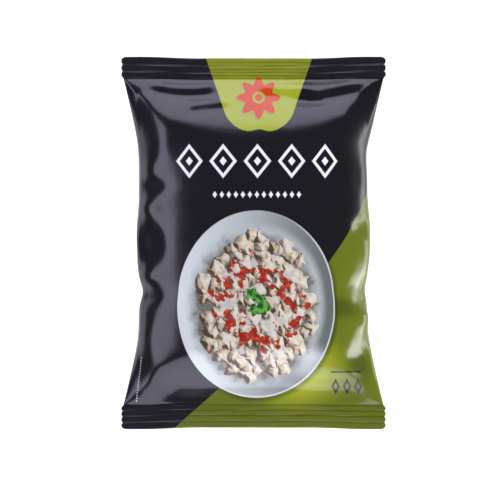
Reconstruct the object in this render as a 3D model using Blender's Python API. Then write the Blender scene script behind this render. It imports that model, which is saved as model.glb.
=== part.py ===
"""A filled and sealed food pack: a printed film pillow bag of frozen dumplings, lying on its back.

Metres, +Z up. The front panel faces +Z and the top seal points along +Y. The origin is on the
surface that the pack lies on, under the middle of its box. The pack is one closed solid: a film
tube, sealed flat at both ends, with a lengthways fin seal folded down along its back.
"""

import math

import bmesh
import bpy
import numpy as np

# Driving dimensions
PACK_WIDTH = 0.205        # the film tube laid flat, which is the width of both end seals
PACK_LENGTH = 0.289       # from cut edge to cut edge
PACK_HEIGHT = 0.050       # the filled body, lying down
TOP_SEAL = 0.0165         # depth of each crimped end seal, along Y
BOTTOM_SEAL = 0.0185
SEAL_THICKNESS = 0.0008   # both films and the flattened crimp
SEAL_LIFT = 0.0235        # height of the end seals over the surface
FIN_WIDTH = 0.013         # the back's lengthways seal, folded to the +X side
FIN_THICKNESS = 0.0006
FIN_EDGE = 0.0008         # half the width of the step at the fin's edges
FIN_SHADE = 0.007         # how far beside the fin the back film is held off the surface

# Crimp of the end seals
TOP_RIBS = 3
BOTTOM_RIBS = 4
RIB_RISE = 0.0007         # from groove to crest
RIB_SPREAD = 1.1          # over 1, the bands are wider towards the cut
RIB_SCALLOP = 0.0011      # how far the seal's side edge is drawn in at each groove
SEAL_CORNER = 0.0030      # radius of the seal's outer corners
EDGE_HOLLOW = 0.0013      # the cut edge lies this much further in at mid-width
DRAPE_RISE = 0.0012       # height and half length of the waves along a seal
DRAPE_HALF_LENGTH = 0.062
DRAPE_CORNER = 0.0014     # how far the seal's corners turn up
DRAPE_REACH = 0.030       # how far into the body the seal's waviness runs out

# Filled body
BODY_HALF_WIDTH = (0.0884, 0.0878)   # left and right
SHOULDER_INSET = 0.0018   # how much narrower the body is than the seal where it leaves it
SHOULDER_SLOPE = 0.24     # how fast the outline runs out to the seal
SHOULDER_BLEND = 0.003    # rounding between the slope and the side wall
FRONT_RUN = 0.055         # length of the slope from a seal up to the front panel
BACK_RUN = 0.050          # and down to the surface underneath
FRONT_POWER = 1.3         # how much each slope rounds over at its end
BACK_POWER = 1.9
FLAT_SINK = 0.0012        # how far the back is pressed flat by the weight
FRONT_SQUARENESS = 2.1    # 2 is an ellipse, and more is squarer
BACK_SQUARENESS = 3.0
HIP_BLEND = 0.003         # rounding between the slopes
CORNER_FACETS = {(-1, 1): 0.70, (1, 1): 0.50, (-1, -1): 0.62, (1, -1): 0.66}  # slopes by side and end
SIDE_FACETS = {-1: 0.98, 1: 0.92}
FACET_REACH = (0.016, 0.052)   # from the seal, where a corner's facet starts to steepen and has done
EDGE_ROUND = (0.0032, 0.0020)  # rise and width of the rounded edge between the front and the back
EDGE_REACH = 0.045

# Waves of the side walls: height along Y, how far the wall stands out there, half length
LEFT_WAVES = (
    (0.0054, 0.0021, 0.022),
    (-0.0380, -0.0028, 0.008),
    (-0.0180, 0.0006, 0.010),
)
RIGHT_WAVES = (
    (0.0698, -0.0012, 0.012),
    (0.0054, 0.0026, 0.024),
    (-0.0365, -0.0018, 0.009),
)

# Ledges of the front film, flatter than the slope around them: start, bend, end, half width, slope lost.
# Each is walked with the downhill side on the left.
FRONT_LEDGES = (
    ((-0.088, 0.1228), (-0.053, 0.1158), (-0.025, 0.1206), 0.0056, 0.46),
    ((-0.002, 0.1186), (0.024, 0.1160), (0.052, 0.1160), 0.0065, 0.34),
    ((0.024, 0.1156), (0.0562, 0.1116), (0.0890, 0.1250), 0.0064, 0.50),
    ((0.094, -0.1250), (0.010, -0.1250), (-0.0720, -0.1250), 0.0140, 0.52),
    ((0.082, -0.0960), (0.050, -0.0960), (0.020, -0.0960), 0.0110, 0.26),
)

# Hollows and bulges of the shoulders: middle, half lengths across and along, lean in degrees, rise
SHOULDER_DENTS = (
    (-0.080, 0.0570, 0.0080, 0.0070, 0.0, 0.0014),
    (-0.076, 0.0440, 0.0080, 0.0060, 0.0, -0.0016),
    (-0.082, 0.0265, 0.0080, 0.0085, 0.0, 0.0028),
    (-0.079, -0.0010, 0.0090, 0.0145, 0.0, -0.0030),
    (-0.082, -0.0260, 0.0080, 0.0075, 0.0, 0.0024),
    (-0.080, -0.0420, 0.0080, 0.0060, 0.0, -0.0012),
    (-0.082, -0.0720, 0.0080, 0.0160, 0.0, 0.0016),
    (0.0870, 0.0520, 0.0060, 0.0200, 0.0, 0.0010),
    (0.0826, 0.0120, 0.0075, 0.0075, 0.0, -0.0024),
    (0.0880, -0.0100, 0.0110, 0.0180, 0.0, 0.0026),
    (0.0870, -0.0455, 0.0110, 0.0085, 0.0, -0.0020),
    (0.0860, -0.0570, 0.0115, 0.0120, -20.0, 0.0036),
    (0.0820, -0.0870, 0.0110, 0.0120, 0.0, -0.0032),
)

# Fineness of the solid
COLUMNS = 42
SEAL_ROWS = 12
BODY_ROWS = 36
SECTION_STEPS = 160
LEDGE_STEPS = 24
LEDGE_FADE = (0.25, 0.014)    # each end fades over this share of its length, or this length if shorter
FOLD_ROOM = 0.0045        # ledges and dents reach their full depth this high over the side line
DEEPEST = 0.5             # how far one sinks at most, as a share of the height over that line


def smooth_step(value):
    """0 below 0, 1 above 1, and an easy curve between them."""
    t = np.clip(value, 0.0, 1.0)
    return t * t * (3.0 - 2.0 * t)


def smooth_larger(a, b, blend):
    """The larger of a and b, rounded where they cross."""
    return 0.5 * (a + b + np.sqrt((a - b) ** 2 + blend**2))


def seal_depth(y):
    """Depth of the seal at this end of the pack."""
    return np.where(y > 0, TOP_SEAL, BOTTOM_SEAL)


def from_cut(y):
    """Distance from the nearer cut edge."""
    return np.maximum(PACK_LENGTH / 2 - np.abs(y), 0.0)


def into_body(y):
    """Distance from the nearer seal into the body, and 0 within a seal."""
    return np.maximum(from_cut(y) - seal_depth(y), 0.0)


def share_of_seal(y, blend):
    """1 within a seal and 0 in the body, crossing over within this length."""
    return smooth_step((seal_depth(y) - from_cut(y)) / blend + 0.5)


def band_place(y):
    """Place in the row of crimped bands, counted from the cut."""
    ribs = np.where(y > 0, TOP_RIBS, BOTTOM_RIBS)
    return ribs * np.minimum(from_cut(y) / seal_depth(y), 1.0) ** RIB_SPREAD


def off_band_middle(y):
    """0 on the middle of a band and 1 in a groove."""
    place = band_place(y)
    return 2.0 * np.abs(place - np.floor(place) - 0.5)


def rib_wave(y):
    """Height of the crimp's bands, from 0 in the grooves to 1: nearly flat with narrow grooves."""
    return 1.0 - off_band_middle(y) ** 6


def half_width(y, body_half, waves):
    """Half width of the pack's outline at y, on one side."""
    shoulder = PACK_WIDTH / 2 - SHOULDER_INSET - SHOULDER_SLOPE * into_body(y)
    width = smooth_larger(body_half, shoulder, SHOULDER_BLEND)
    for place, rise, half_length in waves:
        width = width + rise * np.exp(-(((y - place) / half_length) ** 2))
    sealed = share_of_seal(y, 0.004)
    seal_half = PACK_WIDTH / 2 - RIB_SCALLOP * off_band_middle(y) ** 3
    width = (1 - sealed) * np.minimum(width, PACK_WIDTH / 2) + sealed * seal_half
    corner = np.minimum(from_cut(y), SEAL_CORNER)
    return width - SEAL_CORNER + np.sqrt(SEAL_CORNER**2 - (SEAL_CORNER - corner) ** 2)


def rise_share(y, run, power):
    """Share of the full height that a panel has reached at y: a slope that rounds over at its end."""
    t = np.clip(into_body(y) / run, 0.0, 1.0)
    return 1.0 - (1.0 - t) ** power


def smooth_smaller(a, b, blend):
    """The smaller of a and b, rounded where they cross, and sharp again towards 0."""
    blend = blend * np.clip(np.minimum(a, b) / (2.0 * blend), 0.0, 1.0)
    return 0.5 * (a + b - np.sqrt((a - b) ** 2 + blend**2))


def facet_line(side, y, gap):
    """Height at this distance from the side wall of the flat facet beside it."""
    start, end = FACET_REACH
    along = smooth_step((into_body(y) - start) / (end - start))
    slope = CORNER_FACETS[side, 1 if y > 0 else -1] * (1 - along) + SIDE_FACETS[side] * along
    rise, width = EDGE_ROUND
    rise = rise * smooth_step(into_body(y) / EDGE_REACH)
    return slope * gap + rise * (1.0 - np.exp(-gap / width))


def quarter_section(side, y, half, slope_height, full_height, squareness, shares):
    """Points (x, z) at these shares of the length of a quarter section, from its crown to its side.

    The section is a rounded quarter, cut by the facet and by the height that the end's slope has reached.
    """
    turn = np.linspace(0.0, np.pi / 2, SECTION_STEPS)
    x = half * np.sin(turn) ** (2.0 / squareness)
    z = (full_height + HIP_BLEND / 2) * np.cos(turn) ** (2.0 / squareness)
    z = smooth_smaller(z, facet_line(side, y, half - x), HIP_BLEND)
    z = smooth_smaller(np.full_like(z, slope_height), z, HIP_BLEND)
    length = np.concatenate([[0.0], np.cumsum(np.hypot(np.diff(x), np.diff(z)))])
    wanted = shares * length[-1]
    return np.interp(wanted, length, x), np.interp(wanted, length, z)


def side_line(y):
    """Height of the pack's widest line."""
    return SEAL_LIFT + 0.0015 * smooth_step(into_body(y) / 0.05)


def panel(shares, rows, front):
    """The smooth form of the front or the back film: points[row, column] before any fold."""
    full = PACK_HEIGHT - side_line(0.0) if front else side_line(0.0) + FLAT_SINK
    run, power = (FRONT_RUN, FRONT_POWER) if front else (BACK_RUN, BACK_POWER)
    squareness = FRONT_SQUARENESS if front else BACK_SQUARENESS
    points = np.zeros((len(rows), len(shares), 3))
    for row, y in enumerate(rows):
        slope_height = (full + HIP_BLEND / 2) * rise_share(y, run, power)
        left = half_width(y, BODY_HALF_WIDTH[0], LEFT_WAVES)
        right = half_width(y, BODY_HALF_WIDTH[1], RIGHT_WAVES)
        for side, half in ((-1, left), (1, right)):
            mine = shares * side >= 0
            x, z = quarter_section(side, y, half, slope_height, full, squareness, np.abs(shares[mine]))
            points[row, mine, 0] = side * x
            points[row, mine, 2] = z if front else -z
        points[row, :, 1] = y
        points[row, :, 2] += side_line(y) + (SEAL_THICKNESS / 2) * (1 if front else -1)
    return points


def curve_points(start, bend, end):
    """Points along a gentle bow from start to end that leans towards bend."""
    t = np.linspace(0.0, 1.0, LEDGE_STEPS)[:, None]
    start, bend, end = np.array(start), np.array(bend), np.array(end)
    return (1 - t) ** 2 * start + 2 * t * (1 - t) * bend + t**2 * end


def ledge_depth(points, ledge):
    """Displacement that one ledge gives, tapering to nothing at its ends."""
    start, bend, end, half, slope_lost = ledge
    spots = curve_points(start, bend, end)
    steps = np.gradient(spots, axis=0)
    reach = np.linalg.norm(steps, axis=1)
    away = points[..., None, :2] - spots
    nearest = np.linalg.norm(away, axis=-1).argmin(axis=-1)
    away = np.take_along_axis(away, nearest[..., None, None], axis=-2)[..., 0, :]
    heading = (steps / reach[:, None])[nearest]
    along = (away * heading).sum(axis=-1)
    across = heading[..., 0] * away[..., 1] - heading[..., 1] * away[..., 0]
    place = (nearest + along / reach[nearest]) / (LEDGE_STEPS - 1)
    fade = min(LEDGE_FADE[0], LEDGE_FADE[1] / reach.sum())
    taper = smooth_step(place / fade) * smooth_step((1.0 - place) / fade)
    return slope_lost * across * np.exp(-((across / half) ** 2)) * taper


def dent_depth(points, dent):
    """Displacement of one soft oval hollow or bulge."""
    middle_x, middle_y, half_x, half_y, lean, rise = dent
    away_x = points[..., 0] - middle_x
    away_y = points[..., 1] - middle_y
    cosine, sine = math.cos(math.radians(lean)), math.sin(math.radians(lean))
    across = (away_x * cosine + away_y * sine) / half_x
    along = (away_y * cosine - away_x * sine) / half_y
    return rise * np.exp(-(across**2) - along**2)


def normals_of(points):
    """Unit normals of a grid of points, rows along +Y and columns along +X."""
    over = np.gradient(points, axis=1)
    up = np.gradient(points, axis=0)
    normal = np.cross(over, up)
    return normal / np.maximum(np.linalg.norm(normal, axis=-1, keepdims=True), 1e-12)


def front_film(shares, rows):
    """The front film, with its ledges and dented shoulders."""
    points = panel(shares, rows, front=True)
    room = points[..., 2] - side_line(rows)[:, None]
    near_edge = smooth_step(room / FOLD_ROOM)
    ledges = sum(ledge_depth(points, ledge) for ledge in FRONT_LEDGES)
    ledges = np.where(ledges > 0.0, ledges * near_edge, np.maximum(ledges, -DEEPEST * room))
    dents = sum(dent_depth(points, dent) for dent in SHOULDER_DENTS)
    dents = np.maximum(dents, -DEEPEST * room) * near_edge
    return points + normals_of(points) * (ledges + dents)[..., None]


def back_film(shares, rows):
    """The back film, pressed flat where it rests, with the fin seal folded down along it."""
    points = panel(shares, rows, front=False)
    points[..., 2] = np.maximum(points[..., 2], 0.0)
    x = points[..., 0]
    beside = np.maximum(np.maximum(-x, x - FIN_WIDTH), 0.0)
    shade = np.where(beside > FIN_EDGE / 2, np.clip(1.5 - beside / FIN_SHADE, 0.0, 1.0), 0.0)
    points[..., 2] += FIN_THICKNESS * shade * smooth_step(into_body(rows) / 0.004)[:, None]
    return points


def crimp(points, rows):
    """Ribs of the end seals, the drape of the seal, and the hollow line of the cut edge."""
    x = points[..., 0]
    y = rows[:, None]
    ribs = RIB_RISE * (rib_wave(y) - 0.5) * share_of_seal(y, 0.003)
    drape = DRAPE_RISE * np.cos(np.pi * x / DRAPE_HALF_LENGTH + 0.6 * np.sign(y))
    drape = drape + DRAPE_CORNER * (2 * np.abs(x) / PACK_WIDTH) ** 3
    hollow = EDGE_HOLLOW * (1.0 - smooth_step((np.abs(x) - 0.040) / 0.048))
    points[..., 2] += ribs + drape * smooth_step(1.0 - into_body(y) / DRAPE_REACH)
    points[..., 1] -= np.sign(y) * hollow * smooth_step(1.0 - from_cut(y) / 0.040)
    return points


def row_places():
    """Y of each row of points: close together in the seals, wider over the body."""
    marks = np.cumsum([0, SEAL_ROWS, BODY_ROWS, SEAL_ROWS])
    end = PACK_LENGTH / 2
    return np.interp(np.arange(marks[-1] + 1), marks, [-end, BOTTOM_SEAL - end, end - TOP_SEAL, end])


def column_places():
    """Share of the half width at each column of points, with a close pair at both edges of the fin."""
    even = np.linspace(-1.0, 1.0, COLUMNS + 1)
    fin_edges = np.array([-FIN_EDGE, FIN_EDGE, FIN_WIDTH - FIN_EDGE, FIN_WIDTH + FIN_EDGE]) / (PACK_WIDTH / 2)
    clear = [s for s in even if np.min(np.abs(fin_edges - s)) > 1.5 * FIN_EDGE / (PACK_WIDTH / 2)]
    return np.sort(np.concatenate([clear, fin_edges]))


def cut_block(bm, axis, cuts):
    """Cuts the block into equal slices along one axis."""
    edges = [e for e in bm.edges if abs(e.verts[0].co[axis] - e.verts[1].co[axis]) > 1e-6]
    bmesh.ops.subdivide_edges(bm, edges=edges, cuts=cuts, use_grid_fill=True)


def printed_film_material():
    """Dark glossy printed film."""
    material = bpy.data.materials.new("printed_film")
    material.use_nodes = True
    shader = material.node_tree.nodes["Principled BSDF"]
    shader.inputs["Base Color"].default_value = (0.012, 0.012, 0.016, 1.0)
    shader.inputs["Roughness"].default_value = 0.25
    shader.inputs["Metallic"].default_value = 0.0
    return material


def make_pack(collection):
    """A block cut into a grid, whose top becomes the front film and whose bottom the back film."""
    rows = row_places()
    shares = column_places()
    films = {
        1: crimp(front_film(shares, rows), rows),
        -1: crimp(back_film(shares, rows), rows),
    }
    for points in films.values():
        points[..., 2] = np.maximum(points[..., 2], 0.0)

    bm = bmesh.new()
    bmesh.ops.create_cube(bm, size=2.0)
    cut_block(bm, 0, len(shares) - 2)
    cut_block(bm, 1, len(rows) - 2)
    for vertex in bm.verts:
        column = round((vertex.co.x + 1.0) / 2.0 * (len(shares) - 1))
        row = round((vertex.co.y + 1.0) / 2.0 * (len(rows) - 1))
        vertex.co = films[1 if vertex.co.z > 0 else -1][row, column]

    low = np.min([v.co for v in bm.verts], axis=0)
    high = np.max([v.co for v in bm.verts], axis=0)
    middle = (low + high) / 2
    bmesh.ops.translate(bm, verts=bm.verts, vec=(-middle[0], -middle[1], -low[2]))

    mesh = bpy.data.meshes.new("dumpling_pack")
    bm.to_mesh(mesh)
    bm.free()
    mesh.shade_smooth()
    mesh.materials.append(printed_film_material())
    pack = bpy.data.objects.new("dumpling_pack", mesh)
    collection.objects.link(pack)
    return pack


def main():
    for thing in list(bpy.data.objects):
        bpy.data.objects.remove(thing, do_unlink=True)
    collection = bpy.data.collections.new("dumpling_pack")
    bpy.context.scene.collection.children.link(collection)
    make_pack(collection)


main()
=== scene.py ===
"""Looks of a filled pillow bag of frozen dumplings: glossy printed film, lying front side up.

The film is one closed skin over the CAD solid, finer than it and with the same driving
dimensions. The print is drawn by the material in the film's own coordinates: the distance
around the film tube from the middle of the front, and the distance along it, in metres.
"""

import math

import bmesh
import bpy
import numpy as np
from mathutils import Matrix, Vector


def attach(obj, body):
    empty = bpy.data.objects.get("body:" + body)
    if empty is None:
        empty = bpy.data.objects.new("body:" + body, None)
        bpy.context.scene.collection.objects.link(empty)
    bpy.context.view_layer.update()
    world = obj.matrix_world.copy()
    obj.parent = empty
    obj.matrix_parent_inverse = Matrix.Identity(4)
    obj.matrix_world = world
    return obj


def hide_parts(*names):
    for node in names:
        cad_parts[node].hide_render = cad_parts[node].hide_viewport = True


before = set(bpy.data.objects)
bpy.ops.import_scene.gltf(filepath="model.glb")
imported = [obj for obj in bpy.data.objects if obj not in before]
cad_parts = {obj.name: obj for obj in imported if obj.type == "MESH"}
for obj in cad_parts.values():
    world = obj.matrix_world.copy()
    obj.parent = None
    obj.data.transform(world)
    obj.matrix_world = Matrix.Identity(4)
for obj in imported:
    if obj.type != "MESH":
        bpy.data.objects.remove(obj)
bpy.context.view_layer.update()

NODE = "dumpling_pack"

# The pack as the photograph frames it
PIXEL = 0.0007756              # metres across one pixel of the 500 pixel frame
PACK_CENTRE_PX = (253.5, 243.0)
FRAME_CENTRE_PX = (250.0, 250.0)
FRAME_WIDTH_PX = 500

# Driving dimensions, as in the CAD solid
PACK_WIDTH = 0.205
PACK_LENGTH = 0.289
PACK_HEIGHT = 0.050
TOP_SEAL = 0.0165
BOTTOM_SEAL = 0.0185
SEAL_THICKNESS = 0.0008
SEAL_LIFT = 0.0235
FIN_WIDTH = 0.013
FIN_THICKNESS = 0.0006
FIN_EDGE = 0.0008              # half the width of the step at the fin's edges
FIN_SHADE = 0.007              # how far beside the fin the back film is held off the surface

TOP_RIBS = 3
BOTTOM_RIBS = 4
RIB_RISE = 0.0007              # from groove to crest
RIB_SPREAD = 1.1               # over 1, the bands are wider towards the cut
RIB_FLATNESS = 6               # the higher, the flatter the bands and the narrower their grooves
RIB_SCALLOP = 0.0011           # how far the seal's side edge is drawn in at each groove
RIB_EDGE = 0.003               # length over which the bands die out into the body
RIB_SWELL = 0.0085             # the bands' rise varies along the seal over about six times this length
RIB_UNEVEN = 0.25              # and by this share of it
RIB_SHIFT = 2.2                # how much the next band's swell is out of step
SEAL_CORNER = 0.0030           # radius of the seal's outer corners
SEAL_EDGE = 0.004              # length over which the seal's outline passes into the body's
EDGE_HOLLOW = 0.0013           # the cut edge lies this much further in at mid-width
HOLLOW_SPAN = (0.040, 0.048)   # half width of the hollow's even middle, and the run out beside it
HOLLOW_DEPTH = 0.040           # how far from the cut the hollow is felt
DRAPE_RISE = 0.0012            # height and half length of the waves along a seal
DRAPE_HALF_LENGTH = 0.062
DRAPE_STEP = 0.6               # how far each seal's waves are moved along it
DRAPE_CORNER = 0.0014          # how far the seal turns up at DRAPE_SIDE from its middle
DRAPE_SIDE = 0.1
DRAPE_REACH = 0.030            # how far into the body the seal's waviness runs out

BODY_HALF_WIDTH = (0.0884, 0.0878)
SHOULDER_INSET = 0.0018        # how much narrower the body is than the seal where it leaves it
SHOULDER_SLOPE = 0.24          # how fast the outline runs out to the seal
SHOULDER_BLEND = 0.003         # rounding between the slope and the side wall
FRONT_RUN = 0.055              # length of the slope from a seal up to the front panel
BACK_RUN = 0.050               # and down to the surface underneath
FRONT_POWER = 1.3              # how much each slope rounds over at its end
BACK_POWER = 1.9
SIDE_RISE = (0.0015, 0.05)     # how far the side line climbs from a seal, and over what length
FLAT_SINK = 0.0012             # how far the back is pressed flat by the weight
FRONT_SQUARENESS = 2.1
BACK_SQUARENESS = 3.0
HIP_BLEND = 0.003              # rounding between the slopes
CORNER_FACETS = {(-1, 1): 0.70, (1, 1): 0.50, (-1, -1): 0.62, (1, -1): 0.66}  # slopes by side and end
SIDE_FACETS = {-1: 0.98, 1: 0.92}
FACET_REACH = (0.016, 0.052)   # from the seal, where a corner's facet starts to steepen and has done
EDGE_ROUND = (0.0032, 0.0020)  # rise and width of the rounded edge between the front and the back
EDGE_REACH = 0.045

# Waves of the side walls: height along Y, how far the wall stands out there, half length
LEFT_WAVES = (
    (0.0054, 0.0021, 0.022),
    (-0.0380, -0.0028, 0.008),
    (-0.0180, 0.0006, 0.010),
)
RIGHT_WAVES = (
    (0.0698, -0.0012, 0.012),
    (0.0054, 0.0026, 0.024),
    (-0.0365, -0.0018, 0.009),
)

# Folds of the front film: start, bend, end, half width, rise of a ridge, slope lost on a ledge.
# A ledge lies flatter than the slope around it, and is walked with the downhill side on the left.
FRONT_FOLDS = (
    # Ledges along the top slope
    ((-0.088, 0.1236), (-0.053, 0.1118), (-0.023, 0.1210), 0.0050, 0.0, 0.44),
    ((-0.037, 0.1210), (-0.033, 0.1215), (-0.026, 0.1250), 0.0020, 0.0, 0.20),
    ((-0.054, 0.1030), (-0.038, 0.1058), (-0.014, 0.1072), 0.0044, 0.0, 0.24),
    ((-0.002, 0.1186), (0.024, 0.1160), (0.052, 0.1160), 0.0065, 0.0, 0.34),
    ((0.024, 0.1156), (0.0562, 0.1116), (0.0890, 0.1250), 0.0064, 0.0, 0.50),
    ((0.040, 0.1120), (0.047, 0.1110), (0.056, 0.1130), 0.0040, 0.0, 0.20),
    # Small pleats at the top seal's corners
    ((-0.0990, 0.1270), (-0.0960, 0.1200), (-0.0890, 0.1140), 0.0016, 0.0007, 0.0),
    ((0.0905, 0.1225), (0.0870, 0.1190), (0.0820, 0.1150), 0.0016, 0.0006, 0.0),
    # Ledges beside the bottom seal
    ((0.100, -0.1249), (0.010, -0.1249), (-0.0840, -0.1249), 0.0165, 0.0, 0.60),
    ((0.090, -0.0970), (0.050, -0.0960), (0.020, -0.0960), 0.0110, 0.0, 0.29),
    ((0.060, -0.1150), (0.040, -0.1120), (0.020, -0.1180), 0.0035, 0.0, 0.14),
)

# Hollows and bulges of the shoulders: middle, half lengths across and along, lean in degrees, rise
SHOULDER_DENTS = (
    (-0.0690, 0.0790, 0.0090, 0.0150, 0.0, 0.0014),
    (-0.080, 0.0570, 0.0080, 0.0070, 0.0, 0.0014),
    (-0.076, 0.0440, 0.0080, 0.0060, 0.0, -0.0016),
    (-0.082, 0.0265, 0.0080, 0.0085, 0.0, 0.0028),
    (-0.079, -0.0010, 0.0090, 0.0145, 0.0, -0.0030),
    (-0.082, -0.0260, 0.0080, 0.0075, 0.0, 0.0024),
    (-0.080, -0.0420, 0.0080, 0.0060, 0.0, -0.0012),
    (-0.082, -0.0720, 0.0080, 0.0160, 0.0, 0.0016),
    (0.0870, 0.0520, 0.0060, 0.0200, 0.0, 0.0010),
    (0.0826, 0.0120, 0.0075, 0.0075, 0.0, -0.0024),
    (0.0880, -0.0100, 0.0110, 0.0180, 0.0, 0.0026),
    (0.0870, -0.0455, 0.0110, 0.0085, 0.0, -0.0020),
    (0.0858, -0.0575, 0.0098, 0.0140, -26.0, 0.0033),
    (0.0822, -0.0900, 0.0095, 0.0120, 0.0, -0.0023),
)

# Fineness of the film's mesh
COLUMNS = 180
SEAL_ROWS = 46
BODY_ROWS = 168
SECTION_STEPS = 400
FOLD_STEPS = 24
EVENING_POWER = 5              # the print's distances are evened out mostly near the sides
FOLD_FADE = (0.25, 0.030)      # an end fades over this share of the fold, or this length if shorter
FOLD_ROOM = 0.0045             # folds reach their full depth this high over the side line
DEEPEST = 0.56                 # how far a fold sinks at most, as a share of the height over that line


def smooth_step(value):
    """0 below 0, 1 above 1, and an easy curve between them."""
    t = np.clip(value, 0.0, 1.0)
    return t * t * (3.0 - 2.0 * t)


def smooth_larger(a, b, blend):
    """The larger of a and b, rounded where they cross."""
    return 0.5 * (a + b + np.sqrt((a - b) ** 2 + blend**2))


def seal_depth(y):
    """Depth of the seal at this end of the pack."""
    return np.where(y > 0, TOP_SEAL, BOTTOM_SEAL)


def from_cut(y):
    """Distance from the nearer cut edge."""
    return np.maximum(PACK_LENGTH / 2 - np.abs(y), 0.0)


def into_body(y):
    """Distance from the nearer seal into the body, and 0 within a seal."""
    return np.maximum(from_cut(y) - seal_depth(y), 0.0)


def share_of_seal(y, blend):
    """1 within a seal and 0 in the body, crossing over within this length."""
    return smooth_step((seal_depth(y) - from_cut(y)) / blend + 0.5)


def band_place(y):
    """Place in the row of crimped bands, counted from the cut."""
    ribs = np.where(y > 0, TOP_RIBS, BOTTOM_RIBS)
    return ribs * np.minimum(from_cut(y) / seal_depth(y), 1.0) ** RIB_SPREAD


def off_band_middle(y):
    """0 on the middle of a band and 1 in a groove."""
    place = band_place(y)
    return 2.0 * np.abs(place - np.floor(place) - 0.5)


def rib_wave(y):
    """Height of the crimp's bands, from 0 in the grooves to 1: nearly flat with narrow grooves."""
    return 1.0 - off_band_middle(y) ** RIB_FLATNESS


def half_width(y, body_half, waves):
    """Half width of the pack's outline at y, on one side."""
    shoulder = PACK_WIDTH / 2 - SHOULDER_INSET - SHOULDER_SLOPE * into_body(y)
    width = smooth_larger(body_half, shoulder, SHOULDER_BLEND)
    for place, rise, half_length in waves:
        width = width + rise * np.exp(-(((y - place) / half_length) ** 2))
    sealed = share_of_seal(y, SEAL_EDGE)
    seal_half = PACK_WIDTH / 2 - RIB_SCALLOP * off_band_middle(y) ** 3
    width = (1 - sealed) * np.minimum(width, PACK_WIDTH / 2) + sealed * seal_half
    corner = np.minimum(from_cut(y), SEAL_CORNER)
    return width - SEAL_CORNER + np.sqrt(SEAL_CORNER**2 - (SEAL_CORNER - corner) ** 2)


def rise_share(y, run, power):
    """Share of the full height that a panel has reached at y: a slope that rounds over at its end."""
    t = np.clip(into_body(y) / run, 0.0, 1.0)
    return 1.0 - (1.0 - t) ** power


def smooth_smaller(a, b, blend):
    """The smaller of a and b, rounded where they cross, and sharp again towards 0."""
    blend = blend * np.clip(np.minimum(a, b) / (2.0 * blend), 0.0, 1.0)
    return 0.5 * (a + b - np.sqrt((a - b) ** 2 + blend**2))


def facet_line(side, y, gap):
    """Height at this distance from the side wall of the flat facet beside it."""
    start, end = FACET_REACH
    along = smooth_step((into_body(y) - start) / (end - start))
    slope = CORNER_FACETS[side, 1 if y > 0 else -1] * (1 - along) + SIDE_FACETS[side] * along
    rise, width = EDGE_ROUND
    rise = rise * smooth_step(into_body(y) / EDGE_REACH)
    return slope * gap + rise * (1.0 - np.exp(-gap / width))


def quarter_section(side, y, half, slope_height, full_height, squareness, shares):
    """Points (x, z) at these shares of the length of a quarter section, from its crown to its side.

    The section is a rounded quarter, cut by the facet and by the height of the end's slope.
    """
    turn = np.linspace(0.0, np.pi / 2, SECTION_STEPS)
    x = half * np.sin(turn) ** (2.0 / squareness)
    z = (full_height + HIP_BLEND / 2) * np.cos(turn) ** (2.0 / squareness)
    z = smooth_smaller(z, facet_line(side, y, half - x), HIP_BLEND)
    z = smooth_smaller(np.full_like(z, slope_height), z, HIP_BLEND)
    length = np.concatenate([[0.0], np.cumsum(np.hypot(np.diff(x), np.diff(z)))])
    wanted = shares * length[-1]
    return np.interp(wanted, length, x), np.interp(wanted, length, z)


def side_line(y):
    """Height of the pack's widest line."""
    rise, run = SIDE_RISE
    return SEAL_LIFT + rise * smooth_step(into_body(y) / run)


def panel(shares, rows, front):
    """The smooth form of the front or the back film: points[row, column] before any fold."""
    full = PACK_HEIGHT - side_line(0.0) if front else side_line(0.0) + FLAT_SINK
    run, power = (FRONT_RUN, FRONT_POWER) if front else (BACK_RUN, BACK_POWER)
    squareness = FRONT_SQUARENESS if front else BACK_SQUARENESS
    points = np.zeros((len(rows), len(shares), 3))
    for row, y in enumerate(rows):
        slope_height = (full + HIP_BLEND / 2) * rise_share(y, run, power)
        left = half_width(y, BODY_HALF_WIDTH[0], LEFT_WAVES)
        right = half_width(y, BODY_HALF_WIDTH[1], RIGHT_WAVES)
        for side, half in ((-1, left), (1, right)):
            mine = shares * side >= 0
            places = np.abs(shares[mine])
            x, z = quarter_section(side, y, half, slope_height, full, squareness, places)
            points[row, mine, 0] = side * x
            points[row, mine, 2] = z if front else -z
        points[row, :, 1] = y
        points[row, :, 2] += side_line(y) + (SEAL_THICKNESS / 2) * (1 if front else -1)
    return points


def curve_points(start, bend, end):
    """Points along a gentle bow from start to end that leans towards bend."""
    t = np.linspace(0.0, 1.0, FOLD_STEPS)[:, None]
    start, bend, end = np.array(start), np.array(bend), np.array(end)
    return (1 - t) ** 2 * start + 2 * t * (1 - t) * bend + t**2 * end


def fold_depth(points, fold):
    """Displacement that one fold gives, tapering to nothing at its ends."""
    start, bend, end, half, rise, slope_lost = fold
    spots = curve_points(start, bend, end)
    steps = np.gradient(spots, axis=0)
    reach = np.linalg.norm(steps, axis=1)
    away = points[..., None, :2] - spots
    nearest = np.linalg.norm(away, axis=-1).argmin(axis=-1)
    away = np.take_along_axis(away, nearest[..., None, None], axis=-2)[..., 0, :]
    heading = (steps / reach[:, None])[nearest]
    along = (away * heading).sum(axis=-1)
    across = heading[..., 0] * away[..., 1] - heading[..., 1] * away[..., 0]
    place = (nearest + along / reach[nearest]) / (FOLD_STEPS - 1)
    fade = min(FOLD_FADE[0], FOLD_FADE[1] / reach.sum())
    taper = smooth_step(place / fade) * smooth_step((1.0 - place) / fade)
    return (rise + slope_lost * across) * np.exp(-((across / half) ** 2)) * taper


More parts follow.
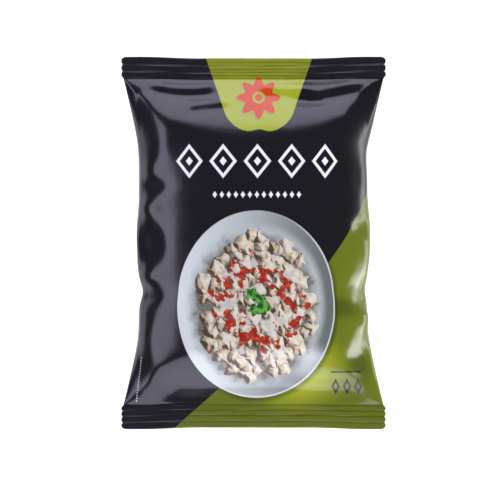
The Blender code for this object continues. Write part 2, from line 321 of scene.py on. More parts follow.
def dent_depth(points, dent):
    """Displacement of one soft oval hollow or bulge."""
    middle_x, middle_y, half_x, half_y, lean, rise = dent
    away_x = points[..., 0] - middle_x
    away_y = points[..., 1] - middle_y
    cosine, sine = math.cos(math.radians(lean)), math.sin(math.radians(lean))
    across = (away_x * cosine + away_y * sine) / half_x
    along = (away_y * cosine - away_x * sine) / half_y
    return rise * np.exp(-(across**2) - along**2)


def normals_of(points):
    """Unit normals of a grid of points, rows along +Y and columns along +X."""
    over = np.gradient(points, axis=1)
    up = np.gradient(points, axis=0)
    normal = np.cross(over, up)
    return normal / np.maximum(np.linalg.norm(normal, axis=-1, keepdims=True), 1e-12)


def front_film(shares, rows):
    """The front film, with its folds and buckled shoulders."""
    points = panel(shares, rows, front=True)
    room = points[..., 2] - side_line(rows)[:, None]
    near_edge = smooth_step(room / FOLD_ROOM)
    folds = sum(fold_depth(points, fold) for fold in FRONT_FOLDS)
    folds = np.where(folds > 0.0, folds * near_edge, np.maximum(folds, -DEEPEST * room))
    dents = sum(dent_depth(points, dent) for dent in SHOULDER_DENTS)
    dents = np.maximum(dents, -DEEPEST * room) * near_edge
    return points + normals_of(points) * (folds + dents)[..., None]


def back_film(shares, rows):
    """The back film, pressed flat where it rests, with the fin seal folded down along it."""
    points = panel(shares, rows, front=False)
    points[..., 2] = np.maximum(points[..., 2], 0.0)
    x = points[..., 0]
    beside = np.maximum(np.maximum(-x, x - FIN_WIDTH), 0.0)
    shade = np.where(beside > FIN_EDGE / 2, np.clip(1.5 - beside / FIN_SHADE, 0.0, 1.0), 0.0)
    points[..., 2] += FIN_THICKNESS * shade * smooth_step(into_body(rows) / SEAL_EDGE)[:, None]
    return points


def crimp(points, rows):
    """Ribs of the end seals, the drape of the seal, and the hollow line of the cut edge."""
    x = points[..., 0]
    y = rows[:, None]
    band = np.floor(band_place(y))
    swell = 1.0 - RIB_UNEVEN + RIB_UNEVEN * np.cos(x / RIB_SWELL + RIB_SHIFT * band)
    ribs = RIB_RISE * (rib_wave(y) - 0.5) * swell * share_of_seal(y, RIB_EDGE)
    drape = DRAPE_RISE * np.cos(np.pi * x / DRAPE_HALF_LENGTH + DRAPE_STEP * np.sign(y))
    drape = drape + DRAPE_CORNER * (np.abs(x) / DRAPE_SIDE) ** 3
    middle, run_out = HOLLOW_SPAN
    hollow = EDGE_HOLLOW * (1.0 - smooth_step((np.abs(x) - middle) / run_out))
    points[..., 2] += ribs + drape * smooth_step(1.0 - into_body(y) / DRAPE_REACH)
    points[..., 1] -= np.sign(y) * hollow * smooth_step(1.0 - from_cut(y) / HOLLOW_DEPTH)
    return points


def row_places():
    """Y of each row of points: close together in the seals, wider over the body."""
    marks = np.cumsum([0, SEAL_ROWS, BODY_ROWS, SEAL_ROWS])
    end = PACK_LENGTH / 2
    return np.interp(np.arange(marks[-1] + 1), marks, [-end, BOTTOM_SEAL - end, end - TOP_SEAL, end])


def cut_block(bm, axis, cuts):
    """Cuts the block into equal slices along one axis."""
    edges = [e for e in bm.edges if abs(e.verts[0].co[axis] - e.verts[1].co[axis]) > 1e-6]
    bmesh.ops.subdivide_edges(bm, edges=edges, cuts=cuts, use_grid_fill=True)


def film_distance(points, shares):
    """Distance along the film from the middle column, evened out to a quarter round at the side."""
    steps = np.linalg.norm(np.diff(points, axis=1), axis=-1)
    along = np.concatenate([np.zeros((len(points), 1)), np.cumsum(steps, axis=1)], axis=1)
    along -= along[:, [len(shares) // 2]]
    at_side = np.where(shares > 0, along[:, [-1]], -along[:, [0]])
    quarter = PACK_WIDTH / 2
    return along + np.sign(shares) * (quarter - at_side) * np.abs(shares) ** EVENING_POWER


def make_film():
    """A block cut into a fine grid, whose top becomes the front film and whose bottom the back."""
    rows = row_places()
    shares = np.linspace(-1.0, 1.0, COLUMNS + 1)
    front = front_film(shares, rows)
    back = back_film(shares, rows)
    front_up = front[..., 1].copy()
    front = crimp(front, rows)
    back = crimp(back, rows)
    back[..., 2] = np.maximum(back[..., 2], 0.0)
    front_around = film_distance(front, shares)
    back_around = PACK_WIDTH - film_distance(back, shares)
    back_up = np.repeat(rows[:, None], len(shares), axis=1)

    bm = bmesh.new()
    bmesh.ops.create_cube(bm, size=2.0)
    cut_block(bm, 0, COLUMNS - 1)
    cut_block(bm, 1, len(rows) - 2)
    film_map = bm.loops.layers.uv.new("film")
    for face in bm.faces:
        is_back = sum(v.co.z for v in face.verts) < -2.0
        around, up = (back_around, back_up) if is_back else (front_around, front_up)
        for loop in face.loops:
            column = round((loop.vert.co.x + 1.0) / 2.0 * COLUMNS)
            row = round((loop.vert.co.y + 1.0) / 2.0 * (len(rows) - 1))
            loop[film_map].uv = (around[row, column], up[row, column])
    for vertex in bm.verts:
        column = round((vertex.co.x + 1.0) / 2.0 * COLUMNS)
        row = round((vertex.co.y + 1.0) / 2.0 * (len(rows) - 1))
        vertex.co = (front if vertex.co.z > 0 else back)[row, column]

    mesh = bpy.data.meshes.new("pack_film")
    bm.to_mesh(mesh)
    bm.free()
    mesh.shade_smooth()
    film = bpy.data.objects.new("pack_film", mesh)
    bpy.context.scene.collection.objects.link(film)
    return film


# The print, in millimetres: across the front from its middle, and up from the pack's middle
FRONT_HALF = 102.5
EDGE_BLUR = 0.35

TAB_MIDDLE = 4.3
TAB_HALF = 25.6                # half width at TAB_LEVEL
TAB_LEVEL = 97.7
TAB_FLARE = 0.332
TAB_BOTTOM = 85.9
TAB_CORNER = 15.0
TAB_NOTCH = (1.7, 5.0)         # rise and half width

CORNER_CROSSING = 69.6         # where the green corner's edge crosses the pack's middle height
CORNER_SLANT = 0.745
CORNER_BOW = (0.0018, -30.0)   # curvature, and the height where it starts
CORNER_PAINTED_LIGHT = (30.0, -98.0, 52.0, 40.0)       # painted light: where the corner's green is lightest
CORNER_PAINTED_SHADES = ((86.0, -95.0, 17.0, 22.0), (70.0, -50.0, 20.0, 12.0))  # and painted shade: where it is darkest
WRAP_LEVEL = 44.0              # height of the green edge where it turns onto the back
WRAP_FALL = 1.1

PLATE = (2.2, -47.7, 61.9, 72.7)      # middle and half axes
HEAP = (3.6, -49.0, 49.0, 59.0)
LEAF_SPOT = (2.0, -46.0)
LEAF_LOBES = 5
LEAF_CUT = 0.20                # how deep the lobes are parted, as a share of a leaf's size
LEAVES = (                     # place beside the spot, size, turn
    (-3.0, 7.0, 4.6, 0.5),
    (2.5, 2.5, 4.2, 2.0),
    (6.0, -4.0, 4.8, 1.1),
    (-1.0, -5.5, 4.4, 2.9),
)
DOUGH_LAYERS = (               # spacing, distance to a side, share of places taken, shift, sides
    (10.5, 6.2, 1.0, (31.0, 17.0), 4),
    (12.5, 5.2, 0.75, (-53.0, 71.0), 3),
    (14.5, 5.8, 0.60, (112.0, -38.0), 4),
)
DOUGH_SCATTER = 0.80           # how far the dumplings stray from an even spacing
DOUGH_SQUASH = (0.85, 0.5)     # least squash of a dumpling, and how much more it can be
DOUGH_FOLDED = 0.62            # how much of a dumpling's outline is straight-sided, and the rest round
HEAP_INSIDE = 0.93             # dumplings lie with their middles within this reach of the heap
RELIEF_STEP = (0.75, 0.30)     # towards the picture's own light
RELIEF_SLOPE = 2.6             # how strongly a slope towards that light brightens the dough
RELIEF_HEIGHT = 0.40           # and how strongly height does
RELIEF_BASE = 0.14
CRUMPLE = 0.32                 # depth of the creases in the dough
RELIEF_BEND = 5.0              # how far the dumplings' outlines are bent
LAYER_RISE = 0.22              # how much higher each layer lies
PLATE_CAST = (1.6, -1.8)       # how far the plate's shadow is moved
PLATE_GLINT = (41.0, -90.0, 22.0, 17.0)
HEAP_CAST = (-3.0, -1.5)
SWIRL = (0.50, 0.17)           # the sauce's ring: its reach in the heap, and half breadth
SWIRL_WAVE = 0.09
SAUCE_LEVEL = (0.70, 0.755)    # of the blots, where the sauce starts and covers fully

ROW_MIDDLE = (3.0, 63.0)       # the row of open lozenges
LOZENGE = (10.6, 13.2)
LOZENGE_PITCH = 26.4
LOZENGE_COUNT = 5
LOZENGE_STROKE = 2.2
LOZENGE_HEART = 0.26           # size of the small filled one inside

RULE_MIDDLE = (2.6, 37.2)      # the small rule under the row
RULE_PITCH = 5.4
RULE_COUNT = 13
RULE_DOT = 1.7

FLOWER_MIDDLE = (4.0, 112.6)
FLOWER_RADIUS = 17.0
FLOWER_PETALS = 8
FLOWER_WAVE = 0.17             # how deep the petals are parted, as a share of the radius
FLOWER_RING = (0.285, 0.165)   # outer and inner reach of the green ring
RING_BLUR = 0.015
FLOWER_CAST = (-1.0, -1.0)     # how far its shadow is moved

MARK_MIDDLE = (73.2, -111.0)   # the small dark lozenges in the green corner
MARK_LOZENGE = (3.4, 6.4)
MARK_PITCH = 9.2
MARK_COUNT = 3
MARK_STROKE = 1.6
MARK_BAR = (13.0, 11.5, 0.7)   # half length, height over the lozenges, half thickness

SIDE_DOTS = (-92.0, -105.5)    # the fine dotted column at the left edge
SIDE_DOTS_COUNT = 18
SIDE_DOTS_PITCH = 2.1
SIDE_DOT_RADIUS = 0.55

BACK_PANEL = (254.0, 4.0, 30.0, 78.0)
PANEL_CORNER = 4.0
SEAL_SHADES = (0.69, 1.02)     # how much of a light ink the crimp's painted shade leaves, at the top and at the bottom
SEAL_PAINTED_STREAKS = 0.5             # how uneven that painted shade is, in streaks of painted light and shade
GROOVE_SHADE = (2.5, 0.36)     # painted shade in the grooves: how close to a groove it darkens, and by how much


def srgb(red, green, blue):
    """Linear colour of three 0 to 255 display values."""
    values = [v / 255.0 for v in (red, green, blue)]
    return tuple(v / 12.92 if v <= 0.04045 else ((v + 0.055) / 1.055) ** 2.4 for v in values) + (1.0,)


INK_DARK = srgb(22, 22, 26)
# Dark ink made lighter on the seals: a painted sheen of the crimped film
INK_SEAL_PAINTED_SHEEN = srgb(27, 27, 32)
INK_GREEN = srgb(150, 160, 32)
INK_OLIVE = srgb(92, 100, 25)
# Colour of the green corner's painted shade
OLIVE_PAINTED_SHADE = srgb(70, 79, 22)
INK_WHITE = srgb(220, 220, 228)
INK_RED = srgb(190, 60, 14)
PLATE_LIGHT = srgb(190, 197, 198)
PLATE_SHADE = srgb(88, 95, 94)
PLATE_WELL = srgb(166, 172, 173)
PLATE_RIM = srgb(228, 232, 238)
DOUGH_LIGHT = srgb(199, 193, 180)
DOUGH_SHADE = srgb(72, 56, 40)
DOUGH_MIDDLE = srgb(176, 162, 140)
CREAM = srgb(195, 190, 183)
SAUCE = srgb(138, 26, 14)
SAUCE_OIL = srgb(190, 70, 28)
LEAF_DARK = srgb(26, 74, 30)
LEAF_LIGHT = srgb(92, 158, 62)
PANEL_PALE = srgb(208, 208, 200)
SHADOW_PLATE = srgb(16, 18, 12)
SHADOW_HEAP = srgb(84, 88, 78)
SHADOW_FLOWER = srgb(120, 132, 110)


# The film's gloss
GRAIN_SCALE = 900.0
WAVE_SCALE = 42.0              # the soft unevenness of thin film
FILM_ROUGHNESS = (0.13, 0.10, 0.05)    # at least, and what the waves and the grain add
FILM_BUMP = (0.35, 0.0012)     # strength, and height in metres
GRAIN_BUMP = 0.02
FILM_IOR = 1.5
FILM_TINT = (0.94, 0.91, 1.0, 1.0)


class Net:
    """A material's node tree, with short ways to add nodes."""

    def __init__(self, name):
        self.material = bpy.data.materials.new(name)
        self.material.use_nodes = True
        self.tree = self.material.node_tree
        self.shader = self.tree.nodes["Principled BSDF"]

    def feed(self, socket, value):
        if isinstance(value, Number):
            self.tree.links.new(value.socket, socket)
        elif isinstance(value, bpy.types.NodeSocket):
            self.tree.links.new(value, socket)
        else:
            socket.default_value = value

    def node(self, kind, inputs=None, **settings):
        node = self.tree.nodes.new(kind)
        for name, value in settings.items():
            setattr(node, name, value)
        for name, value in (inputs or {}).items():
            self.feed(node.inputs[name], value)
        return node

    def number(self, socket):
        return Number(self, socket)

    def math(self, operation, *values):
        node = self.node("ShaderNodeMath", operation=operation)
        for socket, value in zip(node.inputs, values):
            self.feed(socket, value)
        return Number(self, node.outputs[0])

    def vector_math(self, operation, first, second):
        return self.node("ShaderNodeVectorMath", {0: first, 1: second}, operation=operation).outputs[0]

    def ramp(self, value, start, end):
        """0 up to start and 1 from end, with an easy curve between; start may be the larger."""
        inputs = {"Value": value, "From Min": start, "From Max": end}
        node = self.node("ShaderNodeMapRange", inputs, interpolation_type="SMOOTHSTEP")
        return Number(self, node.outputs["Result"])

    def mix(self, share, under, over, blend="MIX"):
        node = self.node("ShaderNodeMix", data_type="RGBA", blend_type=blend)
        for index, value in ((0, share), (6, under), (7, over)):
            self.feed(node.inputs[index], value)
        return node.outputs[2]

    def spot(self, x, y):
        node = self.node("ShaderNodeCombineXYZ", {"X": x, "Y": y})
        return node.outputs[0]

    def noise(self, place, scale, detail=2.0, roughness=0.5, dimensions="2D"):
        inputs = {"Vector": place, "Scale": scale, "Detail": detail, "Roughness": roughness}
        node = self.node("ShaderNodeTexNoise", inputs, noise_dimensions=dimensions)
        return Number(self, node.outputs[0])


class Number:
    """A value in a node tree; arithmetic on it adds Math nodes."""

    def __init__(self, net, socket):
        self.net = net
        self.socket = socket

    def __add__(self, other):
        return self.net.math("ADD", self, other)

    def __sub__(self, other):
        return self.net.math("SUBTRACT", self, other)

    def __rsub__(self, other):
        return self.net.math("SUBTRACT", other, self)

    def __mul__(self, other):
        return self.net.math("MULTIPLY", self, other)

    def __truediv__(self, other):
        return self.net.math("DIVIDE", self, other)

    def __neg__(self):
        return self * -1.0

    def size(self):
        return self.net.math("ABSOLUTE", self)

    def power(self, other):
        return self.net.math("POWER", self, other)

    def root(self):
        return self.net.math("SQRT", self)

    def cosine(self):
        return self.net.math("COSINE", self)

    def larger(self, other):
        return self.net.math("MAXIMUM", self, other)

    def above(self, other):
        return self.net.math("GREATER_THAN", self, other)

    def below(self, other):
        return self.net.math("LESS_THAN", self, other)


def round_distance(x, y, middle_x, middle_y, half_x, half_y):
    """1 on the edge of an ellipse and 0 at its middle."""
    across = (x - middle_x) / half_x
    up = (y - middle_y) / half_y
    return (across * across + up * up).root()


def inside(net, distance):
    """1 where a signed distance in millimetres is negative, with a softened edge."""
    return net.ramp(distance, EDGE_BLUR, -EDGE_BLUR)


def tab_shape(net, x, y):
    """The green tab that hangs from the top seal: slanted sides, round corners, a notched foot."""
    off = (x - TAB_MIDDLE).size()
    side = (off - TAB_HALF - (y - TAB_LEVEL) * TAB_FLARE) + TAB_CORNER
    notch = net.math("EXPONENT", -((off / TAB_NOTCH[1]).power(2.0))) * TAB_NOTCH[0]
    foot = (notch + TAB_BOTTOM - y) + TAB_CORNER
    side = side.larger(0.0)
    foot = foot.larger(0.0)
    return inside(net, (side * side + foot * foot).root() - TAB_CORNER)


def corner_shape(net, x, y):
    """The green field over the lower right corner, which wraps round the right side onto the back."""
    bow, start = CORNER_BOW
    below_start = (start - y).larger(0.0)
    edge = y * CORNER_SLANT + CORNER_CROSSING - below_start * below_start * bow
    front = inside(net, edge - x)
    back = inside(net, y - WRAP_LEVEL + (x - FRONT_HALF) * WRAP_FALL)
    return net.mix(x.above(FRONT_HALF), front, back)


def lozenge(x, y, half_x, half_y):
    """Signed distance to an upright lozenge."""
    slant = math.hypot(half_x, half_y)
    reach = x.size() / half_x + y.size() / half_y - 1.0
    return reach * (half_x * half_y / slant)


def repeated(net, x, pitch, count):
    """Coordinate within the nearest of a row of equal cells about 0, and 1 within the row."""
    cell = net.math("ROUND", x / pitch)
    return x - cell * pitch, cell.size().below(count / 2)


def lozenge_row(net, x, y):
    """Five open lozenges with a small filled one in each."""
    across, in_row = repeated(net, x - ROW_MIDDLE[0], LOZENGE_PITCH, LOZENGE_COUNT)
    up = y - ROW_MIDDLE[1]
    half_x, half_y = LOZENGE
    outline = lozenge(across, up, half_x, half_y) + LOZENGE_STROKE / 2
    line = inside(net, outline.size() - LOZENGE_STROKE / 2)
    heart = inside(net, lozenge(across, up, half_x * LOZENGE_HEART, half_y * LOZENGE_HEART))
    return line.larger(heart) * in_row


def dotted_rule(net, x, y):
    """A short row of small white lozenges."""
    across, in_row = repeated(net, x - RULE_MIDDLE[0], RULE_PITCH, RULE_COUNT)
    up = y - RULE_MIDDLE[1]
    dots = inside(net, lozenge(across, up, RULE_DOT, RULE_DOT * 1.5))
    return dots * in_row


def side_dots(net, x, y):
    """A fine dotted column by the left edge."""
    up, in_row = repeated(net, y - SIDE_DOTS[1], SIDE_DOTS_PITCH, SIDE_DOTS_COUNT)
    across = x - SIDE_DOTS[0]
    return inside(net, (across * across + up * up).root() - SIDE_DOT_RADIUS) * in_row


def corner_marks(net, x, y):
    """Three dark open lozenges under a short bar, in the green corner."""
    across, in_row = repeated(net, x - MARK_MIDDLE[0], MARK_PITCH, MARK_COUNT)
    up = y - MARK_MIDDLE[1]
    outline = lozenge(across, up, *MARK_LOZENGE) + MARK_STROKE / 2
    marks = inside(net, outline.size() - MARK_STROKE / 2) * in_row
    length, height, thickness = MARK_BAR
    bar = inside(net, ((x - MARK_MIDDLE[0]).size() - length).larger((up - height).size() - thickness))
    return marks.larger(bar)


def flower(net, x, y):
    """Reach of the flower, 1 on its petals' edge, and the plain reach from its middle."""
    across = x - FLOWER_MIDDLE[0]
    up = y - FLOWER_MIDDLE[1]
    reach = (across * across + up * up).root() / FLOWER_RADIUS
    turn = net.math("ARCTAN2", up, across)
    petals = (turn * FLOWER_PETALS).cosine() * FLOWER_WAVE + (1.0 - FLOWER_WAVE)
    return reach / petals, reach


def dough_layer(net, place, cell, size, share, shift, sides):
    """Where one layer of strewn dumplings is, and the height of each, pinched along its folds."""
    moved = net.vector_math("ADD", place, (*shift, 0.0))
    cells = net.node(
        "ShaderNodeTexVoronoi",
        {"Vector": moved, "Scale": 1.0 / cell, "Randomness": DOUGH_SCATTER},
        voronoi_dimensions="2D",
        feature="F1",
    )
    chance = net.node("ShaderNodeSeparateColor", {"Color": cells.outputs["Color"]})
    turn, pick, bulk = (net.number(chance.outputs[i]) for i in range(3))
    middle = net.node("ShaderNodeSeparateXYZ", {0: cells.outputs["Position"]})
    middle_x = net.number(middle.outputs[0]) - shift[0]
    middle_y = net.number(middle.outputs[1]) - shift[1]
    there = round_distance(middle_x, middle_y, *HEAP).below(HEAP_INSIDE) * pick.below(share)

    away = net.vector_math("SUBTRACT", moved, cells.outputs["Position"])
    spun = net.node(
        "ShaderNodeVectorRotate",
        {"Vector": away, "Angle": turn * math.tau},
        rotation_type="Z_AXIS",
    )
    own = net.node("ShaderNodeSeparateXYZ", {0: spun.outputs[0]})
    a = net.number(own.outputs[0])
    b = net.number(own.outputs[1]) * (bulk * DOUGH_SQUASH[1] + DOUGH_SQUASH[0])
    radius = (a * a + b * b).root()
    flank = None
    for number in range(sides):
        angle = math.tau * number / sides
        reach = a * math.cos(angle) + b * math.sin(angle)
        flank = reach if flank is None else flank.larger(reach)
    reach = (flank * DOUGH_FOLDED + radius * (1.0 - DOUGH_FOLDED)) / size
    edge = net.ramp(reach, 1.0, 0.93) * there
    return edge, net.ramp(reach, 1.15, -0.15)


def heap_relief(net, x, y):
    """Height of the heaped dumplings at a point of the picture, and where there are any."""
    place = net.spot(x, y)
    bend = net.node(
        "ShaderNodeTexNoise", {"Vector": place, "Scale": 0.13, "Detail": 1.0}, noise_dimensions="2D"
    )
    bend = net.vector_math("SUBTRACT", bend.outputs["Color"], (0.5, 0.5, 0.5))
    bend = net.vector_math("MULTIPLY", bend, (RELIEF_BEND, RELIEF_BEND, 0.0))
    place = net.vector_math("ADD", place, bend)
    crumple = (net.noise(place, 0.20, 2.0, 0.5) - 0.5).size()
    height = None
    covered = None
    for level, layer in enumerate(DOUGH_LAYERS):
        edge, dome = dough_layer(net, place, *layer)
        if height is None:
            height, covered = edge * dome, edge
        else:
            raised = edge * (dome + LAYER_RISE * level)
            height, covered = height.larger(raised), covered.larger(edge)
    return height - crumple * covered * CRUMPLE, covered


def plate_picture(net, x, y, ground):
    """A plate of dumplings with sauce and a few leaves, drawn in simple shapes."""
    place = net.spot(x, y)
    wobble = net.noise(place, 0.09, 3.0)
    rim = round_distance(x, y, *PLATE)
    shadow = round_distance(x - PLATE_CAST[0], y - PLATE_CAST[1], *PLATE)
    ground = net.mix(net.ramp(shadow, 1.05, 0.98) * 0.55, ground, SHADOW_PLATE)

    side = net.ramp(x, -62.0, 66.0)
    plate = net.mix(side, PLATE_LIGHT, PLATE_SHADE)
    glint = round_distance(x, y, *PLATE_GLINT)
    plate = net.mix(net.ramp(glint, 1.0, 0.1) * 0.75, plate, PLATE_LIGHT)
    well = net.ramp(rim, 0.91, 0.78)
    plate = net.mix(well * 0.85, plate, PLATE_WELL)
    lip = net.ramp(rim, 0.976, 0.988) * net.ramp(x - y * 0.5, 0.0, 62.0)
    plate = net.mix(lip * 0.55, plate, PLATE_RIM)

    heap_reach = round_distance(x, y, *HEAP)
    cast = round_distance(x - HEAP_CAST[0], y - HEAP_CAST[1], *HEAP)
    under = net.ramp(cast + (wobble - 0.5) * 0.25, 1.08, 0.90)
    plate = net.mix(under * 0.6, plate, SHADOW_HEAP)
    bed = net.ramp(heap_reach + (wobble - 0.5) * 0.5, 0.96, 0.90)
    left_bed = round_distance(x - HEAP_CAST[0], y, *HEAP) + (wobble - 0.5) * 0.5
    left_bed = net.ramp(left_bed, 0.94, 0.86)

    height, covered = heap_relief(net, x, y)
    height_towards_light, covered_there = heap_relief(net, x + RELIEF_STEP[0], y + RELIEF_STEP[1])
    slope = height - height_towards_light
    tone = height * RELIEF_HEIGHT + slope * RELIEF_SLOPE + RELIEF_BASE
    dough = net.mix(net.ramp(tone, -0.05, 0.50), DOUGH_SHADE, DOUGH_MIDDLE)
    dough = net.mix(net.ramp(tone, 0.42, 0.88), dough, DOUGH_LIGHT)
    shaded = covered_there.larger(left_bed * 0.75)
    food = net.mix(shaded * 0.72, plate, DOUGH_SHADE)
    food = net.mix(covered, food, dough)

    pour = net.noise(net.spot(x + 300.0, y), 0.075, 3.0, 0.55)
    cream = net.ramp(pour + slope * 0.10, 0.50, 0.60) * net.ramp(heap_reach, 0.86, 0.66)
    food = net.mix(cream * 0.72, food, CREAM)

    turn = net.math("ARCTAN2", y - HEAP[1], x - HEAP[0])
    swirl = heap_reach - (turn * 2.0 + 0.8).cosine() * SWIRL_WAVE
    band = net.math("EXPONENT", -(((swirl - SWIRL[0]) / SWIRL[1]).power(2.0)))
    blots = net.noise(net.spot(x - 120.0, y + 60.0), 0.12, 3.0, 0.50)
    sauce = net.ramp(blots + band * 0.24 - slope * 0.10, *SAUCE_LEVEL) * bed
    tint = net.noise(net.spot(x, y - 200.0), 0.32, 3.0)
    food = net.mix(sauce * 0.96, food, net.mix(net.ramp(tint, 0.50, 0.72), SAUCE, SAUCE_OIL))

    leaf = leaf_cluster(net, x, y)
    veins = net.noise(net.spot(x + 50.0, y), 0.28, 2.0)
    food = net.mix(leaf, food, net.mix(net.ramp(veins, 0.36, 0.68), LEAF_DARK, LEAF_LIGHT))
    return net.mix(net.ramp(rim, 1.005, 0.995), ground, food)


def leaf_cluster(net, x, y):
    """A sprig: lobed leaves on one stalk."""
    cluster = None
    for off_x, off_y, size, turn in LEAVES:
        across = x - LEAF_SPOT[0] - off_x
        up = y - LEAF_SPOT[1] - off_y
        reach = (across * across + up * up).root()
        angle = net.math("ARCTAN2", up, across) * LEAF_LOBES + turn
        lobes = angle.cosine() * (size * LEAF_CUT) + size
        leaf = inside(net, reach - lobes)
        cluster = leaf if cluster is None else cluster.larger(leaf)
    return cluster


def back_panel(net, x, y):
    """The pale panel on the back, with rounded corners."""
    middle_x, middle_y, half_x, half_y = BACK_PANEL
    side = ((x - middle_x).size() - half_x + PANEL_CORNER).larger(0.0)
    end = ((y - middle_y).size() - half_y + PANEL_CORNER).larger(0.0)
    return inside(net, (side * side + end * end).root() - PANEL_CORNER)


def seal_tone_with_painted_shade(net, x, y):
    """Where the seals are, and what the crimp's painted shade leaves of a light ink: least in the
    grooves, in streaks of painted light and shade.
    """
    at_top = y.above(0.0)
    depth = at_top * ((TOP_SEAL - BOTTOM_SEAL) * 1000) + BOTTOM_SEAL * 1000
    ribs = at_top * (TOP_RIBS - BOTTOM_RIBS) + BOTTOM_RIBS
    from_cut = (PACK_LENGTH * 500 - y.size()).larger(0.0)
    place = (from_cut / depth).power(RIB_SPREAD) * ribs * (at_top + 1.0)
    off_middle = (net.math("FRACT", place) - 0.5).size() * 2.0
    # Painted light and shade along the crimp: uneven streaks, and darker towards each groove
    streaks = net.noise(net.spot(x * 0.045, y * 1.3), 1.0, 3.0, 0.6)
    shade = at_top * (SEAL_SHADES[0] - SEAL_SHADES[1]) + SEAL_SHADES[1]
    shade = shade + (streaks - 0.5) * SEAL_PAINTED_STREAKS - off_middle.power(GROOVE_SHADE[0]) * GROOVE_SHADE[1]
    share = net.ramp(from_cut - depth, 0.5, -0.5)
    left = share * (shade - 1.0) + 1.0
    grey = net.node("ShaderNodeCombineColor", {"Red": left, "Green": left, "Blue": left})
    return share, grey.outputs[0]


def printed_film():
    """Glossy printed film: dark ground, green tab and corner, and the picture on the front, with
    painted light and shade on the seals and the green corner.
    """
    net = Net("printed_film")
    film = net.node("ShaderNodeUVMap", uv_map="film")
    places = net.node("ShaderNodeSeparateXYZ", {0: film.outputs[0]})
    x = net.number(places.outputs[0]) * 1000.0
    y = net.number(places.outputs[1]) * 1000.0

    # On the seals the green ink gets painted shade, darkest in the grooves, with painted streaks
    sealed, seal_ink_with_painted_shade = seal_tone_with_painted_shade(net, x, y)
    # Painted sheen: the dark ink is lighter over the seals
    ink = net.mix(sealed, INK_DARK, INK_SEAL_PAINTED_SHEEN)
    tab_ink = net.mix(1.0, INK_GREEN, seal_ink_with_painted_shade, blend="MULTIPLY")
    ink = net.mix(tab_shape(net, x, y) * x.below(FRONT_HALF), ink, tab_ink)
    # Painted light and painted shade on the green corner, standing in for how the light falls on it
    painted_light = round_distance(x, y, *CORNER_PAINTED_LIGHT)
    corner_ink = net.mix(net.ramp(painted_light, 1.0, 0.2), INK_OLIVE, INK_GREEN)
    for oval in CORNER_PAINTED_SHADES:
        deep = net.ramp(round_distance(x, y, *oval), 1.0, 0.2) * x.below(FRONT_HALF)
        corner_ink = net.mix(deep, corner_ink, OLIVE_PAINTED_SHADE)
    corner_ink = net.mix(1.0, corner_ink, seal_ink_with_painted_shade, blend="MULTIPLY")
    ink = net.mix(corner_shape(net, x, y), ink, corner_ink)
    ink = plate_picture(net, x, y, ink)

    petals, _ = flower(net, x - FLOWER_CAST[0], y - FLOWER_CAST[1])
    ink = net.mix(net.ramp(petals, 1.05, 0.98) * 0.5, ink, SHADOW_FLOWER)
    petals, reach = flower(net, x, y)
    ink = net.mix(net.ramp(petals, 1.02, 0.98), ink, INK_RED)
    outer, inner = FLOWER_RING
    ring = net.ramp(reach, outer + RING_BLUR, outer - RING_BLUR)
    ring = ring - net.ramp(reach, inner + RING_BLUR, inner - RING_BLUR)
    ink = net.mix(ring, ink, INK_GREEN)

    white = lozenge_row(net, x, y).larger(dotted_rule(net, x, y)).larger(side_dots(net, x, y) * 0.6)
    ink = net.mix(white, ink, INK_WHITE)
    ink = net.mix(corner_marks(net, x, y) * 0.92, ink, INK_DARK)
    ink = net.mix(back_panel(net, x, y), ink, PANEL_PALE)

    solid = net.node("ShaderNodeTexCoord").outputs["Object"]
    grain = net.noise(solid, GRAIN_SCALE, 2.0, dimensions="3D")
    film_wave = net.noise(solid, WAVE_SCALE, 3.0, 0.45, dimensions="3D")
    least, from_wave, from_grain = FILM_ROUGHNESS
    net.feed(net.shader.inputs["Base Color"], ink)
    net.feed(net.shader.inputs["Roughness"], film_wave * from_wave + grain * from_grain + least)
    net.shader.inputs["IOR"].default_value = FILM_IOR
    net.shader.inputs["Specular Tint"].default_value = FILM_TINT
    height = film_wave + grain * GRAIN_BUMP
    strength, distance = FILM_BUMP
    bump = net.node("ShaderNodeBump", {"Height": height, "Strength": strength, "Distance": distance})
    net.feed(net.shader.inputs["Normal"], bump.outputs[0])
    return net.material


FLOOR_PALE = ((0.86, 0.86, 0.86, 1.0), (0.88, 0.88, 0.88, 1.0))
FLOOR_GLOW = 0.55
FLOOR_SIZE = 4.0


def pale_floor():
    """The plain pale surface that the pack lies on."""
    bm = bmesh.new()
    bmesh.ops.create_grid(bm, x_segments=1, y_segments=1, size=FLOOR_SIZE)
    mesh = bpy.data.meshes.new("floor")
    bm.to_mesh(mesh)
    bm.free()
    floor = bpy.data.objects.new("floor", mesh)
    bpy.context.scene.collection.objects.link(floor)
    net = Net("pale_floor")
    place = net.node("ShaderNodeTexCoord").outputs["Object"]
    tone = net.noise(place, 3.0, 2.0, dimensions="3D")
    net.feed(net.shader.inputs["Base Color"], net.mix(tone, *FLOOR_PALE))
    net.shader.inputs["Emission Color"].default_value = (1.0, 1.0, 1.0, 1.0)
    net.shader.inputs["Emission Strength"].default_value = FLOOR_GLOW
    net.shader.inputs["Roughness"].default_value = 0.9
    net.shader.inputs["Specular IOR Level"].default_value = 0.1
    mesh.materials.append(net.material)
    return floor


COOL = (1.0, 0.985, 1.14)
# Studio lights: turn from +X, nearest and furthest angle from straight up, breadth, radiance, tint
SOFTBOXES = {
    "light_top": (90.0, 50.0, 88.0, 1.9, 3.2, COOL),
    "light_bottom": (-90.0, 44.0, 90.0, 1.7, 2.7, COOL),
    "light_left": (180.0, 31.0, 57.0, 1.4, 3.2, COOL),
    "light_right": (-31.0, 66.0, 89.0, 0.90, 11.0, (1.0, 1.0, 0.96)),
    "light_right_wide": (-10.0, 82.0, 92.0, 1.5, 7.5, (1.0, 1.0, 1.02)),
}
SOFTBOX_DISTANCE = 1.6

# The even light from above
FILL_BREADTH = 3.2
FILL_HEIGHT = 2.4
FILL_RADIANCE = 1.3


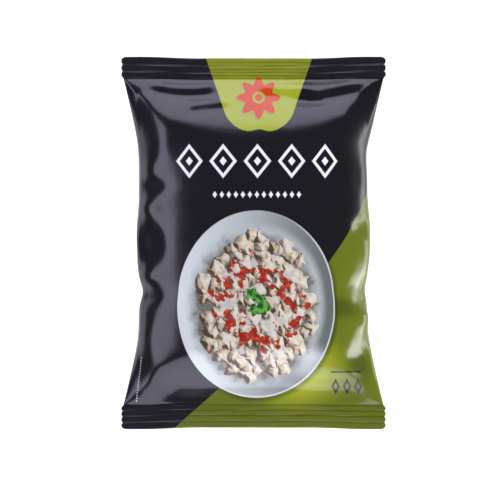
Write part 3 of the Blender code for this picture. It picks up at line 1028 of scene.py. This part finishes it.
def softbox(name, turn, nearest, furthest, breadth, radiance, tint):
    """A rectangular light that fills this range of angles, seen from the pack."""
    middle = math.radians((nearest + furthest) / 2)
    half = SOFTBOX_DISTANCE * math.tan(math.radians((furthest - nearest) / 2))
    light = bpy.data.lights.new(name, "AREA")
    light.shape = "RECTANGLE"
    light.size = breadth
    light.size_y = 2 * half
    light.energy = radiance * math.pi * breadth * 2 * half
    light.color = tint
    lamp = bpy.data.objects.new(name, light)
    heading = math.radians(turn)
    level = math.sin(middle)
    outward = Vector((math.cos(heading) * level, math.sin(heading) * level, math.cos(middle)))
    lamp.location = outward * SOFTBOX_DISTANCE
    lamp.rotation_euler = outward.to_track_quat("Z", "Y").to_euler()
    bpy.context.scene.collection.objects.link(lamp)


SURROUND = ((0.8, 0.8, 0.84, 1.0), 0.04)   # colour and strength in reflections
BACKGROUND = (0.9, 0.9, 0.9, 1.0)


def dim_world():
    """A dim surround, pale where the camera looks straight at it."""
    world = bpy.data.worlds.new("studio")
    world.use_nodes = True
    nodes = world.node_tree.nodes
    links = world.node_tree.links
    backdrop = nodes["Background"]
    backdrop.inputs["Color"].default_value, backdrop.inputs["Strength"].default_value = SURROUND
    seen = nodes.new("ShaderNodeBackground")
    seen.inputs["Color"].default_value = BACKGROUND
    ray = nodes.new("ShaderNodeLightPath")
    either = nodes.new("ShaderNodeMixShader")
    links.new(ray.outputs["Is Camera Ray"], either.inputs[0])
    links.new(backdrop.outputs[0], either.inputs[1])
    links.new(seen.outputs[0], either.inputs[2])
    links.new(either.outputs[0], nodes["World Output"].inputs[0])
    bpy.context.scene.world = world


CAMERA_HEIGHT = 3.0
SENSOR_WIDTH = 0.036


def overhead_camera():
    """A long lens straight above, which frames the pack as the photograph does."""
    lens_data = bpy.data.cameras.new("camera")
    lens_data.sensor_width = SENSOR_WIDTH * 1000
    lens_data.lens = SENSOR_WIDTH * CAMERA_HEIGHT / (FRAME_WIDTH_PX * PIXEL) * 1000
    camera = bpy.data.objects.new("camera", lens_data)
    across = (FRAME_CENTRE_PX[0] - PACK_CENTRE_PX[0]) * PIXEL
    up = (PACK_CENTRE_PX[1] - FRAME_CENTRE_PX[1]) * PIXEL
    camera.location = (across, up, SEAL_LIFT + CAMERA_HEIGHT)
    bpy.context.scene.collection.objects.link(camera)
    bpy.context.scene.camera = camera


def overhead_fill():
    """An even light from above that brightens the floor and the print without a reflection."""
    light = bpy.data.lights.new("light_fill", "AREA")
    light.shape = "DISK"
    light.size = FILL_BREADTH
    light.energy = FILL_RADIANCE * math.pi**2 * FILL_BREADTH**2 / 4
    lamp = bpy.data.objects.new("light_fill", light)
    lamp.location = (0.0, 0.0, FILL_HEIGHT)
    lamp.visible_glossy = False
    bpy.context.scene.collection.objects.link(lamp)


overhead_camera()
overhead_fill()
pale_floor()
dim_world()
for lamp_name, lamp_values in SOFTBOXES.items():
    softbox(lamp_name, *lamp_values)

pack_film = make_film()
pack_film.data.materials.append(printed_film())
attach(pack_film, "root")
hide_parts(NODE)

bpy.context.scene.view_settings.view_transform = "Standard"
bpy.context.scene.view_settings.look = "None"
